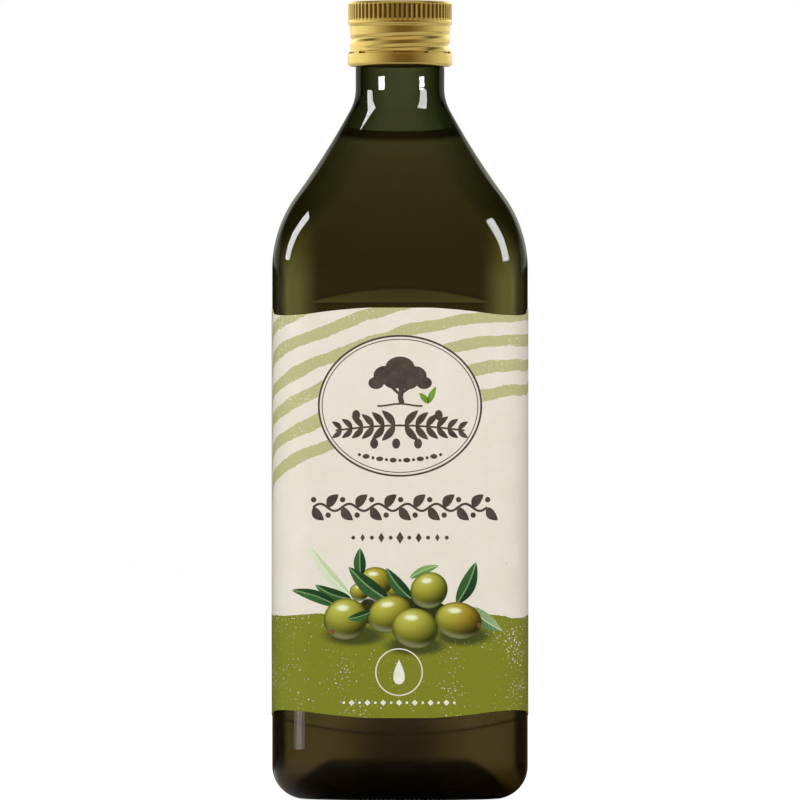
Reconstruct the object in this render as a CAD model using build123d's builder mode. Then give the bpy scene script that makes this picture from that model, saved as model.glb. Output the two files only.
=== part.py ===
from build123d import *
from math import cos, radians, sin
import os

# Olive oil bottle: a square glass bottle with a round neck, its oil, a rolled-on metal cap and a
# paper label wrapped round the body. Millimetres, +Z up, origin on the ground under the neck's axis.

overall_height = 249.5

# Glass body
body_width = 80.0  # across the flats, at the middle of each slightly bowed side
corner_radius = 13.5
side_bow = 3.0  # degrees that each side turns from its middle to its corner arc
heel_radius = 10.2  # rounding between the sides and the ground
foot_corner = 23.0  # corner radius where the heel meets the ground, nearly a circle
foot_bow = 10.0
wall = 2.5
floor_thickness = 5.0
inner_heel_radius = 8.0

# Label panels, flats on the front and the back with a sloping ledge above and below
panel_half_width = 30.0
panel_above_heel = 14.9  # from the top of the heel to the foot of the flat
panel_below_shoulder = 11.3  # from the top of the flat to the foot of the shoulder
ledge_height = 4.7  # of the ledge at the middle of a side

# Push-up, the dome in the base
push_up_radius = 25.0  # where it meets the ground
push_up_depth = 6.5
dome_radius = 27.0  # the same dome seen from inside, where it rises from the floor
dome_top = 12.0

# Neck and shoulder
neck_radius = 13.9
neck_length = 6.9  # straight glass that shows between the shoulder's flare and the cap
bore_radius = 8.0
neck_flare_radius = 14.1
neck_flare_turn = 28.6  # degrees off the vertical where the flare gives way to the long slope
slope_turn = 36.0  # degrees off the vertical where the slope is steepest
shoulder_radius = 39.0  # convex rounding into the body

# Finish, the plain end of the neck that the cap is rolled onto
finish_step = 0.55  # how far it stands proud of the neck
finish_cover = 1.5  # how far up inside the cap it starts
lip_round = 1.2

# Oil
fill_depth = 13.7  # surface of the oil below the top of the shoulder

# Cap
cap_height = 20.4
cap_metal = 0.5
crown_thickness = 0.8
crown_round = 1.0
cap_clearance = 0.15  # between the finish and the cap's narrowest bore
waist_step = 1.1  # waist outside that bore
knurl_step = 0.55  # fluted grip outside the waist
knurl_height = 5.6
flute_count = 64
flute_depth = 0.5
flute_radius = 0.56
bead_height = 1.3
thread_top = 10.6  # levels above the cap's lower edge
thread_foot = 5.3
thread_pitch = 3.3
thread_turns = 1.5
thread_depth = 0.75
thread_groove_radius = 1.15
slit_level = 4.0
slit_height = 0.5
bridge_count = 8
bridge_width = 1.1
bridge_turn = -99.6  # degrees about the axis, where the first bridge stands
band_step = 0.75  # tamper band outside the waist
band_roll_height = 1.1
band_mouth_gap = 1.0  # between the rolled-in lower edge and the neck

# Label
label_thickness = 0.2
label_above_heel = 15.85  # from the top of the heel to the lowest point of the label
label_below_shoulder = 12.4  # from the highest point of the label to the foot of the shoulder
label_rise = 2.35  # how far each edge bows out at the middle of a side

# Levels and radii that follow
half_width = body_width / 2
cap_foot = overall_height - cap_height
lip_level = overall_height - crown_thickness
shoulder_top = cap_foot - neck_length
finish_foot = cap_foot + finish_cover
fill_level = shoulder_top - fill_depth
finish_radius = neck_radius + finish_step
neck_bow = 22.5  # degrees; on a round section the eight arcs are equal


def side_arc_radius(reach, corner, bow):
    """The radius of a bowed side that meets its corner arcs without a kink."""
    share = cos(radians(bow)) - sin(radians(bow))
    return (reach - corner * share) / (1 - share)


def section(level, reach, corner, bow):
    """A square with rounded corners and bowed sides, reach from the axis to the middle of a side."""
    side_radius = side_arc_radius(reach, corner, bow)
    corner_centre = (side_radius - corner) * sin(radians(bow))
    with BuildSketch(Plane.XY.offset(level)) as shape:
        with BuildLine():
            for turn in (0, 90, 180, 270):
                outward = Vector(1, 0).rotate(Axis.Z, turn)
                diagonal = Vector(corner_centre, corner_centre).rotate(Axis.Z, turn)
                CenterArc(outward * (reach - side_radius), side_radius, turn - bow, 2 * bow)
                CenterArc(diagonal, corner, turn + bow, 90 - 2 * bow)
        make_face()
    return shape.sketch


def panelled_section(level, growth):
    """The body's section with its front and back flat, grown outwards by growth."""
    with BuildSketch(Plane.XY.offset(level)) as shape:
        add(section(level, half_width + growth, corner_radius + growth, side_bow))
        Rectangle(3 * body_width, 2 * (panel_reach + growth), mode=Mode.INTERSECT)
    return shape.sketch


def shoulder_outline(neck, flare_radius, body, round_radius):
    """(level, reach) down the shoulder: a tight concave arc, a long shallow one, a convex one."""
    flare, slope = radians(neck_flare_turn), radians(slope_turn)
    used = flare_radius * (1 - cos(flare)) + round_radius * (1 - cos(slope))
    long_radius = (body - neck - used) / (cos(flare) - cos(slope))
    level, reach = shoulder_top, neck
    outline = [(level, reach)]
    for radius, start, end, steps in (
        (flare_radius, 0.0, flare, 3),
        (long_radius, flare, slope, 3),
        (-round_radius, slope, 0.0, 5),
    ):
        for step in range(1, steps + 1):
            angle = start + (end - start) * step / steps
            drop = radius * (sin(angle) - sin(start))
            spread = radius * (cos(start) - cos(angle))
            outline.append((level - drop, reach + spread))
        level, reach = outline[-1]
    return outline


def shoulder_sections(neck, flare_radius, body, round_radius, corner):
    """Sections that turn from the square body to the round neck, from the lowest up."""
    sections = []
    for level, reach in reversed(shoulder_outline(neck, flare_radius, body, round_radius)):
        roundness = (body - reach) / (body - neck)
        bow = side_bow + (neck_bow - side_bow) * roundness
        sections.append(section(level, reach, corner + (neck - corner) * roundness, bow))
    return sections


def heel_sections(ground, body, heel, corner, lowest_corner):
    """Sections of the rounded heel, from the ground or floor up to the straight body."""
    sections = []
    for step in range(6):
        angle = radians(90 * step / 5)
        tuck = 1 - sin(angle)
        level = ground + heel * (1 - cos(angle))
        bow = side_bow + (foot_bow - side_bow) * tuck
        sections.append(section(level, body - heel * tuck, corner + (lowest_corner - corner) * tuck, bow))
    return sections


def bottle_form(ground, heel, body, corner, lowest_corner, neck, flare_radius, round_radius, top):
    """One closed form from heel to neck, used for the outside and, thinner, for the inside."""
    body_foot = ground + heel
    shoulder_foot = shoulder_outline(neck, flare_radius, body, round_radius)[-1][0]
    with BuildPart() as form:
        loft(sections=heel_sections(ground, body, heel, corner, lowest_corner))
        add(section(body_foot, body, corner, side_bow))
        extrude(amount=shoulder_foot - body_foot)
        loft(sections=shoulder_sections(neck, flare_radius, body, round_radius, corner))
        add(section(shoulder_top, neck, neck, neck_bow))
        extrude(amount=top - shoulder_top)
    return form.part


def cavity_form():
    """The space inside the glass, up to the lip, with the dome standing up from its floor."""
    dome_rise = dome_top - floor_thickness
    dome_sphere = (dome_radius**2 + dome_rise**2) / (2 * dome_rise)
    with BuildPart() as cavity:
        add(
            bottle_form(
                floor_thickness,
                inner_heel_radius,
                half_width - wall,
                corner_radius - wall,
                foot_corner - wall,
                bore_radius,
                neck_flare_radius + neck_radius - bore_radius,
                shoulder_radius - wall,
                lip_level,
            )
        )
        with Locations((0, 0, dome_top - dome_sphere)):
            Sphere(dome_sphere, mode=Mode.SUBTRACT)
    return cavity.part


side_radius = side_arc_radius(half_width, corner_radius, side_bow)
panel_depth = side_radius - (side_radius**2 - panel_half_width**2) ** 0.5
panel_reach = half_width - panel_depth
shoulder_foot = shoulder_outline(neck_radius, neck_flare_radius, half_width, shoulder_radius)[-1][0]
panel_foot = heel_radius + panel_above_heel
panel_top = shoulder_foot - panel_below_shoulder
inside = cavity_form()

# Glass bottle: heel, body, shoulder, neck and plain finish, hollow, with a push-up in the base
push_up_sphere = (push_up_radius**2 + push_up_depth**2) / (2 * push_up_depth)
with BuildPart() as bottle:
    add(
        bottle_form(
            0,
            heel_radius,
            half_width,
            corner_radius,
            foot_corner,
            neck_radius,
            neck_flare_radius,
            shoulder_radius,
            finish_foot,
        )
    )
    with BuildSketch(Plane.XY.offset(finish_foot)):
        Circle(finish_radius)
    extrude(amount=lip_level - finish_foot)
    fillet(bottle.edges().filter_by(GeomType.CIRCLE).sort_by(Axis.Z)[-1], lip_round)
    with BuildSketch(Plane.YZ):
        with BuildLine():
            Polyline(
                (panel_reach, panel_foot),
                (panel_reach, panel_top),
                (panel_reach + 2 * panel_depth, panel_top + 2 * ledge_height),
                (panel_reach + 2 * panel_depth, panel_foot - 2 * ledge_height),
                close=True,
            )
        make_face()
        mirror(about=Plane.YZ)
    extrude(amount=half_width, both=True, mode=Mode.SUBTRACT)
    add(inside, mode=Mode.SUBTRACT)
    with Locations((0, 0, push_up_depth - push_up_sphere)):
        Sphere(push_up_sphere, mode=Mode.SUBTRACT)
bottle.part.label = "glass_bottle"

# Oil: fills the inside up to a level surface in the shoulder
with BuildPart() as oil:
    add(inside)
    split(bisect_by=Plane.XY.offset(fill_level), keep=Keep.BOTTOM)
oil.part.label = "olive_oil"

# Cap: one shell of rolled metal, fluted above, threaded below, with a band held by small bridges
knurl_foot = overall_height - knurl_height
waist_top = knurl_foot - bead_height
slit_foot = cap_foot + slit_level
slit_top = slit_foot + slit_height
band_foot = cap_foot + band_roll_height
thread_bore = finish_radius + cap_clearance
waist_radius = thread_bore + waist_step
knurl_radius = waist_radius + knurl_step
band_radius = waist_radius + band_step
mouth_radius = neck_radius + band_mouth_gap
upper_bore = min(knurl_radius - flute_depth, waist_radius) - cap_metal
band_bore = band_radius - cap_metal
with BuildPart() as cap:
    with BuildSketch(Plane.XZ):
        with BuildLine():
            outer = Polyline(
                (0, overall_height),
                (knurl_radius - crown_round, overall_height),
            )
            crown = RadiusArc(outer @ 1, (knurl_radius, overall_height - crown_round), crown_round)
            flank = Polyline(
                crown @ 1,
                (knurl_radius, knurl_foot),
                (waist_radius, waist_top),
                (waist_radius, slit_top),
                (band_radius, slit_foot),
                (band_radius, band_foot),
            )
            roll = RadiusArc(flank @ 1, (mouth_radius, cap_foot), band_radius - mouth_radius)
            Polyline(
                roll @ 1,
                (mouth_radius - cap_metal, cap_foot),
                (mouth_radius - cap_metal, cap_foot + cap_metal),
                (band_bore, band_foot + cap_metal),
                (band_bore, slit_foot),
                (thread_bore, slit_top),
                (thread_bore, cap_foot + thread_top),
                (upper_bore, cap_foot + thread_top + cap_metal),
                (upper_bore, lip_level),
                (0, lip_level),
                (0, overall_height),
            )
        make_face()
    revolve(axis=Axis.Z)
    with BuildSketch(Plane.XY.offset(knurl_foot)):
        with PolarLocations(knurl_radius + flute_radius - flute_depth, flute_count):
            Circle(flute_radius)
    extrude(amount=knurl_height - crown_round, mode=Mode.SUBTRACT)
    with BuildSketch(Plane.XY.offset(slit_foot)):
        Circle(band_radius + cap_metal)
        Circle(thread_bore - cap_metal, mode=Mode.SUBTRACT)
        with PolarLocations(band_radius, bridge_count, start_angle=bridge_turn):
            Rectangle(band_radius, bridge_width, mode=Mode.SUBTRACT)
    extrude(amount=slit_height, mode=Mode.SUBTRACT)
    with BuildLine():
        groove = Helix(
            pitch=thread_pitch,
            height=thread_pitch * thread_turns,
            radius=waist_radius + thread_groove_radius - thread_depth,
            center=(0, 0, cap_foot + thread_foot),
        )
    with BuildSketch(Plane(origin=groove @ 0, z_dir=groove % 0)):
        Circle(thread_groove_radius)
    sweep(path=groove, is_frenet=True, mode=Mode.SUBTRACT)
cap.part.label = "cap"

# Label: paper wrapped round the body, its edges cut by a sphere so that they bow out on each side
label_foot = heel_radius + label_above_heel
label_top = shoulder_foot - label_below_shoulder
diagonal_reach = (half_width - corner_radius) * 2**0.5 + corner_radius
edge_sphere = (diagonal_reach**2 - half_width**2) / (2 * label_rise)
with BuildPart() as label:
    add(panelled_section(label_foot, label_thickness))
    extrude(amount=label_top - label_foot)
    with BuildSketch(Plane.XZ):
        with BuildLine():
            upper = RadiusArc(
                (-diagonal_reach, label_top - label_rise),
                (diagonal_reach, label_top - label_rise),
                edge_sphere,
            )
            lower = RadiusArc(
                (diagonal_reach, label_foot + label_rise),
                (-diagonal_reach, label_foot + label_rise),
                edge_sphere,
            )
            Line(upper @ 1, lower @ 0)
            Line(lower @ 1, upper @ 0)
        make_face()
        split(bisect_by=Plane.YZ)
    revolve(axis=Axis.Z, mode=Mode.INTERSECT)
    add(panelled_section(0, 0))
    extrude(amount=overall_height, mode=Mode.SUBTRACT)
label.part.label = "label"

os.makedirs("parts", exist_ok=True)
for piece in (bottle, oil, cap, label):
    export_step(piece.part, f"parts/{piece.part.label}.step")
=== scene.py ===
import math
import bmesh
import bpy
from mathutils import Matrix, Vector


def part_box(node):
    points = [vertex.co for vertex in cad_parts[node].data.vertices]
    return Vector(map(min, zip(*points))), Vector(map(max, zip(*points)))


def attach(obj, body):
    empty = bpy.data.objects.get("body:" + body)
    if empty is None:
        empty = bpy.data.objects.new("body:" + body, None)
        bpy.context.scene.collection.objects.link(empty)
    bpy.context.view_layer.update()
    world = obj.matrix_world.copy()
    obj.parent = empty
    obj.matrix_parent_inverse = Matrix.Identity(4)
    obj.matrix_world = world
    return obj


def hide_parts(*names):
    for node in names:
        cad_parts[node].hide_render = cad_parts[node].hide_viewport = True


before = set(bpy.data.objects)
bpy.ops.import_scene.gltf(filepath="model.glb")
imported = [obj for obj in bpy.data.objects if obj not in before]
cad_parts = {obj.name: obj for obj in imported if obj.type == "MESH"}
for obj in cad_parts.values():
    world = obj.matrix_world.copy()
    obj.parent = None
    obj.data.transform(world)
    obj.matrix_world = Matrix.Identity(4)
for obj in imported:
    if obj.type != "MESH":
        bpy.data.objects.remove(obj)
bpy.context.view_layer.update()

mm = 0.001
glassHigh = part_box("glass_bottle")[1]
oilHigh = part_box("olive_oil")[1]
capLow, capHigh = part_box("cap")
labelLow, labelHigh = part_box("label")
print("frame loaded:", sorted(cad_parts))


# ---- helpers
# an sRGB hex colour as the linear one that shaders work in
def linear(hexColour):
    channels = [int(hexColour[i:i + 2], 16) / 255 for i in (1, 3, 5)]
    return [c / 12.92 if c <= 0.04045 else ((c + 0.055) / 1.055) ** 2.4 for c in channels] + [1.0]


# one node with its settings; an input is a socket to link, a node whose first output is linked,
# a tuple (operation, value, value) for a sum worked out first, or a plain value
def addNode(tree, kind, settings=None, inputs=None):
    node = tree.nodes.new(kind)
    for name, value in (settings or {}).items():
        setattr(node, name, value)
    for name, value in (inputs or {}).items():
        if isinstance(value, tuple) and value and isinstance(value[0], str):
            value = worked(tree, *value)
        if isinstance(value, bpy.types.Node):
            value = value.outputs[0]
        if isinstance(value, bpy.types.NodeSocket):
            tree.links.new(value, node.inputs[name])
        else:
            node.inputs[name].default_value = value
    return node


# the distance from the origin of a place x, y, as a sum for addNode
def hypotenuse(x, y):
    return ("SQRT", ("ADD", ("MULTIPLY", x, x), ("MULTIPLY", y, y)))


# a sum worked out by a node of its own; a name given to it is then worked out only once
def worked(tree, operation, *terms):
    return addNode(
        tree, "ShaderNodeMath", {"operation": operation}, dict(enumerate(terms))
    ).outputs[0]


def axesOf(tree, place):
    return addNode(tree, "ShaderNodeSeparateXYZ", None, {0: place}).outputs


def vector(tree, x=0.0, y=0.0, z=0.0):
    return addNode(tree, "ShaderNodeCombineXYZ", None, {"X": x, "Y": y, "Z": z})


def objectPlace(tree):
    return addNode(tree, "ShaderNodeTexCoord").outputs["Object"]


def printPlace(tree):
    return addNode(tree, "ShaderNodeUVMap", {"uv_map": "printPlace"}).outputs[0]


def relief(tree, height, strength, depth):
    return addNode(
        tree, "ShaderNodeBump", None, {"Height": height, "Strength": strength, "Distance": depth}
    )


# a value eased from start to end while it runs from low to high
def softStep(tree, value, low, high, start=0.0, end=1.0):
    return addNode(
        tree, "ShaderNodeMapRange", {"interpolation_type": "SMOOTHSTEP"},
        {"Value": value, "From Min": low, "From Max": high, "To Min": start, "To Max": end},
    ).outputs[0]


# two colours, each a socket or a hex colour, mixed by a share
def mixColours(tree, share, first, second, blend="MIX"):
    first, second = (linear(c) if isinstance(c, str) else c for c in (first, second))
    return addNode(
        tree, "ShaderNodeMix", {"data_type": "RGBA", "blend_type": blend},
        {0: share, 6: first, 7: second},
    ).outputs[2]


# noise whose largest grains are about so long
def grain(tree, place, size, detail, roughness=0.5):
    return addNode(
        tree, "ShaderNodeTexNoise", None,
        {"Vector": place, "Scale": 1 / size, "Detail": detail, "Roughness": roughness},
    ).outputs[0]


def newMaterial(name):
    material = bpy.data.materials.new(name)
    material.use_nodes = True
    material.node_tree.nodes.clear()
    return material, material.node_tree


# the surface of a material; one that lets light through also takes some of it on the way
def finishMaterial(tree, settings, volume=None):
    ends = {"Surface": addNode(tree, "ShaderNodeBsdfPrincipled", None, settings)}
    if volume:
        passed = [1 - a / volume["density"] for a in volume["absorption"]] + [1.0]
        ends["Volume"] = addNode(
            tree, "ShaderNodeVolumeAbsorption", None,
            {"Color": passed, "Density": volume["density"]},
        )
    addNode(tree, "ShaderNodeOutputMaterial", None, ends)


def newObject(name, data):
    thing = bpy.data.objects.new(name, data)
    bpy.context.scene.collection.objects.link(thing)
    return thing


# angles spaced evenly round a full turn
def turns(count):
    return [math.tau * i / count for i in range(count)]


# smooth faces that keep a crease where they meet at more than 35 degrees
def smoothShading(mesh):
    mesh.polygons.foreach_set("use_smooth", [True] * len(mesh.polygons))
    mesh.set_sharp_from_angle(angle=math.radians(35))


def registerPiece(piece, replaced=None):
    if replaced:
        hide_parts(replaced)
    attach(piece, "root")


def newPiece(name, points, faces, material, slot=None, replaced=None, places=None):
    mesh = bpy.data.meshes.new(name)
    mesh.from_pydata([tuple(p) for p in points], [], faces)
    if places:  # where each corner of each face lies on the print
        layer = mesh.uv_layers.new(name="printPlace")
        layer.data.foreach_set("uv", [c for place in places for c in place])
    shell = bmesh.new()
    shell.from_mesh(mesh)
    bmesh.ops.remove_doubles(shell, verts=shell.verts, dist=1e-7)
    bmesh.ops.recalc_face_normals(shell, faces=shell.faces)
    shell.to_mesh(mesh)
    shell.free()
    smoothShading(mesh)
    mesh.materials.append(material)
    piece = newObject(name, mesh)
    if slot:
        registerPiece(piece, replaced)
    return piece


# quads between closed rings with the same number of points
def bandFaces(ringCount, pointCount):
    faces = []
    for row in range(ringCount - 1):
        for i in range(pointCount):
            a, b = row * pointCount + i, row * pointCount + (i + 1) % pointCount
            faces.append((a, b, b + pointCount, a + pointCount))
    return faces


# the smaller of two lengths, rounded over where they cross
def softMin(a, b, softness):
    h = max(softness - abs(a - b), 0.0) / softness
    return min(a, b) - h * h * softness / 4


# ---- the bottle's form, shared by glass, oil and label
form = {
    "halfWidth": glassHigh[0],
    "wall": glassHigh[0] - oilHigh[0],
    "cornerRadius": 13.5 * mm,
    "sideBow": 3.0,  # degrees from the middle of a side to its corner
    "heelRadius": 10.2 * mm,
    "footCorner": 23.0 * mm,
    "footBow": 10.0,
    "innerHeelRadius": 8.0 * mm,
    "floorLevel": 5.0 * mm,
    "pushUpRadius": 25.0 * mm,
    "pushUpDepth": 6.5 * mm,
    "domeRadius": 27.0 * mm,
    "domeTop": 12.0 * mm,
    "neckRadius": 13.9 * mm,
    "neckBow": 22.5,
    "boreRadius": 8.0 * mm,
    "shoulderTop": capLow[2] - 6.9 * mm,
    "flareRadius": 14.1 * mm,
    "flareTurn": 28.6,
    "slopeTurn": 36.0,
    "shoulderRadius": 39.0 * mm,
    "panelHalfWidth": 30.0 * mm,
    "panelFoot": 25.1 * mm,
    "panelBelowShoulder": 11.3 * mm,
    "ledgeHeight": 4.7 * mm,
    "creaseSoftness": 0.14 * mm,
    "sideSteps": 32,  # points along a bowed side
    "cornerSteps": 24,  # points round a corner
}
ringPoints = 4 * (form["sideSteps"] + form["cornerSteps"])


def sideRadius(reach, corner, bow):
    share = math.cos(bow) - math.sin(bow)
    return (reach - corner * share) / (1 - share)


# one ring of a square with rounded corners and bowed sides, anticlockwise from +X
def sectionRing(reach, corner, bowDegrees):
    bow = math.radians(bowDegrees)
    radius = sideRadius(reach, corner, bow)
    cornerPlace = (radius - corner) * math.sin(bow)
    ring = []
    for quarter in range(4):
        turn = quarter * math.pi / 2
        outward = Vector((math.cos(turn), math.sin(turn)))
        cornerCentre = (outward + Vector((-outward.y, outward.x))) * cornerPlace
        for i in range(form["sideSteps"]):
            angle = turn - bow + 2 * bow * i / form["sideSteps"]
            along = Vector((math.cos(angle), math.sin(angle)))
            ring.append(outward * (reach - radius) + along * radius)
        for i in range(form["cornerSteps"]):
            angle = turn + bow + (math.pi / 2 - 2 * bow) * i / form["cornerSteps"]
            ring.append(cornerCentre + Vector((math.cos(angle), math.sin(angle))) * corner)
    return ring


# (level, reach) from the body up the shoulder: convex, then long and shallow, then a tight flare
def shoulderProfile(neck, flareRadius, body, roundRadius):
    flare, slope = math.radians(form["flareTurn"]), math.radians(form["slopeTurn"])
    used = flareRadius * (1 - math.cos(flare)) + roundRadius * (1 - math.cos(slope))
    longRadius = (body - neck - used) / (math.cos(flare) - math.cos(slope))
    level, reach = form["shoulderTop"], neck
    profile = [(level, reach)]
    arcs = (
        (flareRadius, 0.0, flare, 14),
        (longRadius, flare, slope, 14),
        (-roundRadius, slope, 0.0, 20),
    )
    for radius, start, end, steps in arcs:
        for i in range(1, steps + 1):
            angle = start + (end - start) * i / steps
            drop = radius * (math.sin(angle) - math.sin(start))
            spread = radius * (math.cos(start) - math.cos(angle))
            profile.append((level - drop, reach + spread))
        level, reach = profile[-1]
    return profile[::-1]


shoulderFoot = shoulderProfile(
    form["neckRadius"], form["flareRadius"], form["halfWidth"], form["shoulderRadius"]
)[0][0]
panelTop = shoulderFoot - form["panelBelowShoulder"]
bodySideRadius = sideRadius(form["halfWidth"], form["cornerRadius"], math.radians(form["sideBow"]))
panelDepth = bodySideRadius - math.sqrt(bodySideRadius ** 2 - form["panelHalfWidth"] ** 2)


# (level, reach, corner radius, bow) from the ground or the floor to the foot of the finish
def wallRows(shrink, heel, ground, neck, levels):
    body, corner = form["halfWidth"] - shrink, form["cornerRadius"] - shrink
    rows = []
    for i in range(19):
        angle = math.radians(90 * i / 18)
        tuck = 1 - math.sin(angle)
        rows.append((
            ground + heel * (1 - math.cos(angle)),
            body - heel * tuck,
            corner + (form["footCorner"] - form["cornerRadius"]) * tuck,
            form["sideBow"] + (form["footBow"] - form["sideBow"]) * tuck,
        ))
    rows += [(level, body, corner, form["sideBow"]) for level in levels]
    flare = form["flareRadius"] + form["neckRadius"] - neck
    for level, reach in shoulderProfile(neck, flare, body, form["shoulderRadius"] - shrink):
        roundness = (body - reach) / (body - neck)
        bow = form["sideBow"] + (form["neckBow"] - form["sideBow"]) * roundness
        rows.append((level, reach, corner + (neck - corner) * roundness, bow))
    return rows


# the flat label panels at the front and back, and the sloping ledges above and below them
def flattened(point, level, growth=0.0):
    past = max(form["panelFoot"] - level, level - panelTop, 0.0)
    limit = form["halfWidth"] - panelDepth + panelDepth * past / form["ledgeHeight"] + growth
    y = math.copysign(softMin(abs(point.y), limit, form["creaseSoftness"]), point.y)
    return Vector((point.x, y, level))


def wallRings(rows, panelled, growth=0.0):
    rings = []
    for level, reach, corner, bow in rows:
        ring = sectionRing(reach + growth, corner + growth, bow)
        if panelled and level < panelTop + 1.4 * form["ledgeHeight"]:
            rings.append([flattened(p, level) for p in ring])
        else:
            rings.append([Vector((p.x, p.y, level)) for p in ring])
    return rings


# rings from the axis out to a wall's lowest ring, with a dome of spherical form inside a radius
def floorRings(outerRing, level, radius, height):
    sphere = (radius ** 2 + height ** 2) / (2 * height)
    rings = []
    for i in range(25):
        reach = radius * i / 24
        rise = math.sqrt(sphere ** 2 - reach ** 2) - sphere + height
        circle = [Vector((p.x, p.y)).normalized() * reach for p in outerRing]
        rings.append([Vector((c.x, c.y, level + rise)) for c in circle])
    for i in range(1, 5):
        ring = []
        for p, edge in zip(outerRing, rings[24]):
            ring.append(edge.lerp(Vector((p.x, p.y, level)), i / 5))
        rings.append(ring)
    return rings


def ledgeLevels(level, upwards):
    low, high = (-0.4, 1.4) if upwards else (-1.4, 0.4)
    return [level + form["ledgeHeight"] * (low + (high - low) * i / 32) for i in range(33)]


# ---- glass bottle
# Soda-lime container glass, blown in a mould: smooth outside with a slow ripple in its thickness,
# and an olive green that deepens to black where the light crosses more of it
glass = {
    "absorption": (262.0, 245.0, 325.0),  # per metre, of red, green and blue
    "density": 420.0,
    "ior": 1.5,
    "rippleLength": 26 * mm,
    "rippleHeight": 0.035 * mm,
    "standingHeight": 0.3 * mm,  # knurls lift the bearing ring clear of the ground
    "lipRound": 1.2 * mm,
    "finishStep": 0.55 * mm,
    "finishCover": 1.5 * mm,
    "finishRound": 0.1 * mm,
    "mouthRound": 0.5 * mm,
    "crown": 0.8 * mm,
}


def containerGlass():
    material, tree = newMaterial("containerGlassMouldBlown")
    ripple = grain(tree, objectPlace(tree), glass["rippleLength"], 1.0)
    finishMaterial(
        tree,
        {
            "Base Color": linear("#ffffff"),
            "Transmission Weight": 1.0,
            "IOR": glass["ior"],
            "Roughness": 0.0,
            "Normal": relief(tree, ripple, 1.0, glass["rippleHeight"]),
        },
        glass,
    )
    return material


glassMaterial = containerGlass()
outerLevels = ledgeLevels(form["panelFoot"], False) + ledgeLevels(panelTop, True)
outerRows = wallRows(0.0, form["heelRadius"], 0.0, form["neckRadius"], outerLevels)
outerRows = [(max(row[0], glass["standingHeight"]),) + row[1:] for row in outerRows]
innerRows = wallRows(
    form["wall"], form["innerHeelRadius"], form["floorLevel"], form["boreRadius"], []
)


def makeBottle():
    outer = wallRings(outerRows, panelled=True)
    ground = glass["standingHeight"]
    lip = capHigh[2] - glass["crown"]
    neck, rim = form["neckRadius"], form["neckRadius"] + glass["finishStep"]
    foot, turn = capLow[2] + glass["finishCover"], glass["lipRound"]
    soft, mouth = glass["finishRound"], glass["mouthRound"]
    finish = [(foot - 2 * soft, neck), (foot, rim - soft), (foot + soft, rim)]
    for i in range(7):
        angle = math.radians(90 * i / 6)
        finish.append((lip - turn * (1 - math.sin(angle)), rim - turn * (1 - math.cos(angle))))
    finish += [(lip, form["boreRadius"] + mouth), (lip - mouth, form["boreRadius"])]
    rings = floorRings(outer[0], ground, form["pushUpRadius"], form["pushUpDepth"] - ground)
    rings += outer
    for level, reach in finish:
        circle = sectionRing(reach, reach, form["neckBow"])
        rings.append([Vector((p.x, p.y, level)) for p in circle])
    inner = wallRings(innerRows, panelled=False)
    rings += inner[::-1]
    domeHeight = form["domeTop"] - form["floorLevel"]
    rings += floorRings(inner[0], form["floorLevel"], form["domeRadius"], domeHeight)[::-1]
    points = [p for ring in rings for p in ring]
    faces = bandFaces(len(rings), ringPoints)
    newPiece("glassBottle", points, faces, glassMaterial, "glass", "glass_bottle")


makeBottle()


# ---- knurls under the heel, short radial ribs that the bottle stands on
knurls = {
    "count": 118,
    "ringRadius": 27.6 * mm,
    "length": 3.0 * mm,
    "width": 0.9 * mm,
    "height": 0.8 * mm,
}


# a geometry tree with named number inputs, which a modifier on the piece sets further down
def geometryTree(name, sizes):
    tree = bpy.data.node_groups.new(name, "GeometryNodeTree")
    tree.interface.new_socket("Geometry", in_out="INPUT", socket_type="NodeSocketGeometry")
    tree.interface.new_socket("Geometry", in_out="OUTPUT", socket_type="NodeSocketGeometry")
    for title, value in sizes.items():
        kind = "NodeSocketInt" if isinstance(value, int) else "NodeSocketFloat"
        tree.interface.new_socket(title, in_out="INPUT", socket_type=kind)
    return tree, addNode(tree, "NodeGroupInput").outputs


def shapedByTree(piece, tree, sizes, result, material, replaced=None):
    realized = addNode(tree, "GeometryNodeRealizeInstances", None, {"Geometry": result})
    painted = addNode(
        tree, "GeometryNodeSetMaterial", None, {"Geometry": realized, "Material": material}
    )
    addNode(tree, "NodeGroupOutput", None, {"Geometry": painted})
    modifier = piece.modifiers.new(tree.name, "NODES")
    modifier.node_group = tree
    for item in tree.interface.items_tree:
        if item.in_out == "INPUT" and item.name in sizes:
            modifier[item.identifier] = sizes[item.name]
    shaped = piece.evaluated_get(bpy.context.evaluated_depsgraph_get())
    mesh = bpy.data.meshes.new_from_object(shaped)
    mesh.name = piece.name
    piece.modifiers.clear()
    piece.data = mesh
    smoothShading(mesh)
    registerPiece(piece, replaced)


# copies of a shape round the axis, each turned to face outwards
def ringOfCopies(tree, shape, count, radius, level, turn=0.0, stretch=(1.0, 1.0, 1.0)):
    ring = addNode(tree, "GeometryNodeMeshCircle", None, {"Vertices": count, "Radius": radius})
    placed = addNode(
        tree, "GeometryNodeTransform", None,
        {"Geometry": ring, "Translation": vector(tree, z=level), "Rotation": vector(tree, z=turn)},
    )
    x, y, _ = axesOf(tree, addNode(tree, "GeometryNodeInputPosition"))
    facing = vector(tree, z=("ARCTAN2", y, x))
    return addNode(
        tree, "GeometryNodeInstanceOnPoints", None,
        {"Points": placed, "Instance": shape, "Rotation": facing, "Scale": stretch},
    )


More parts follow.
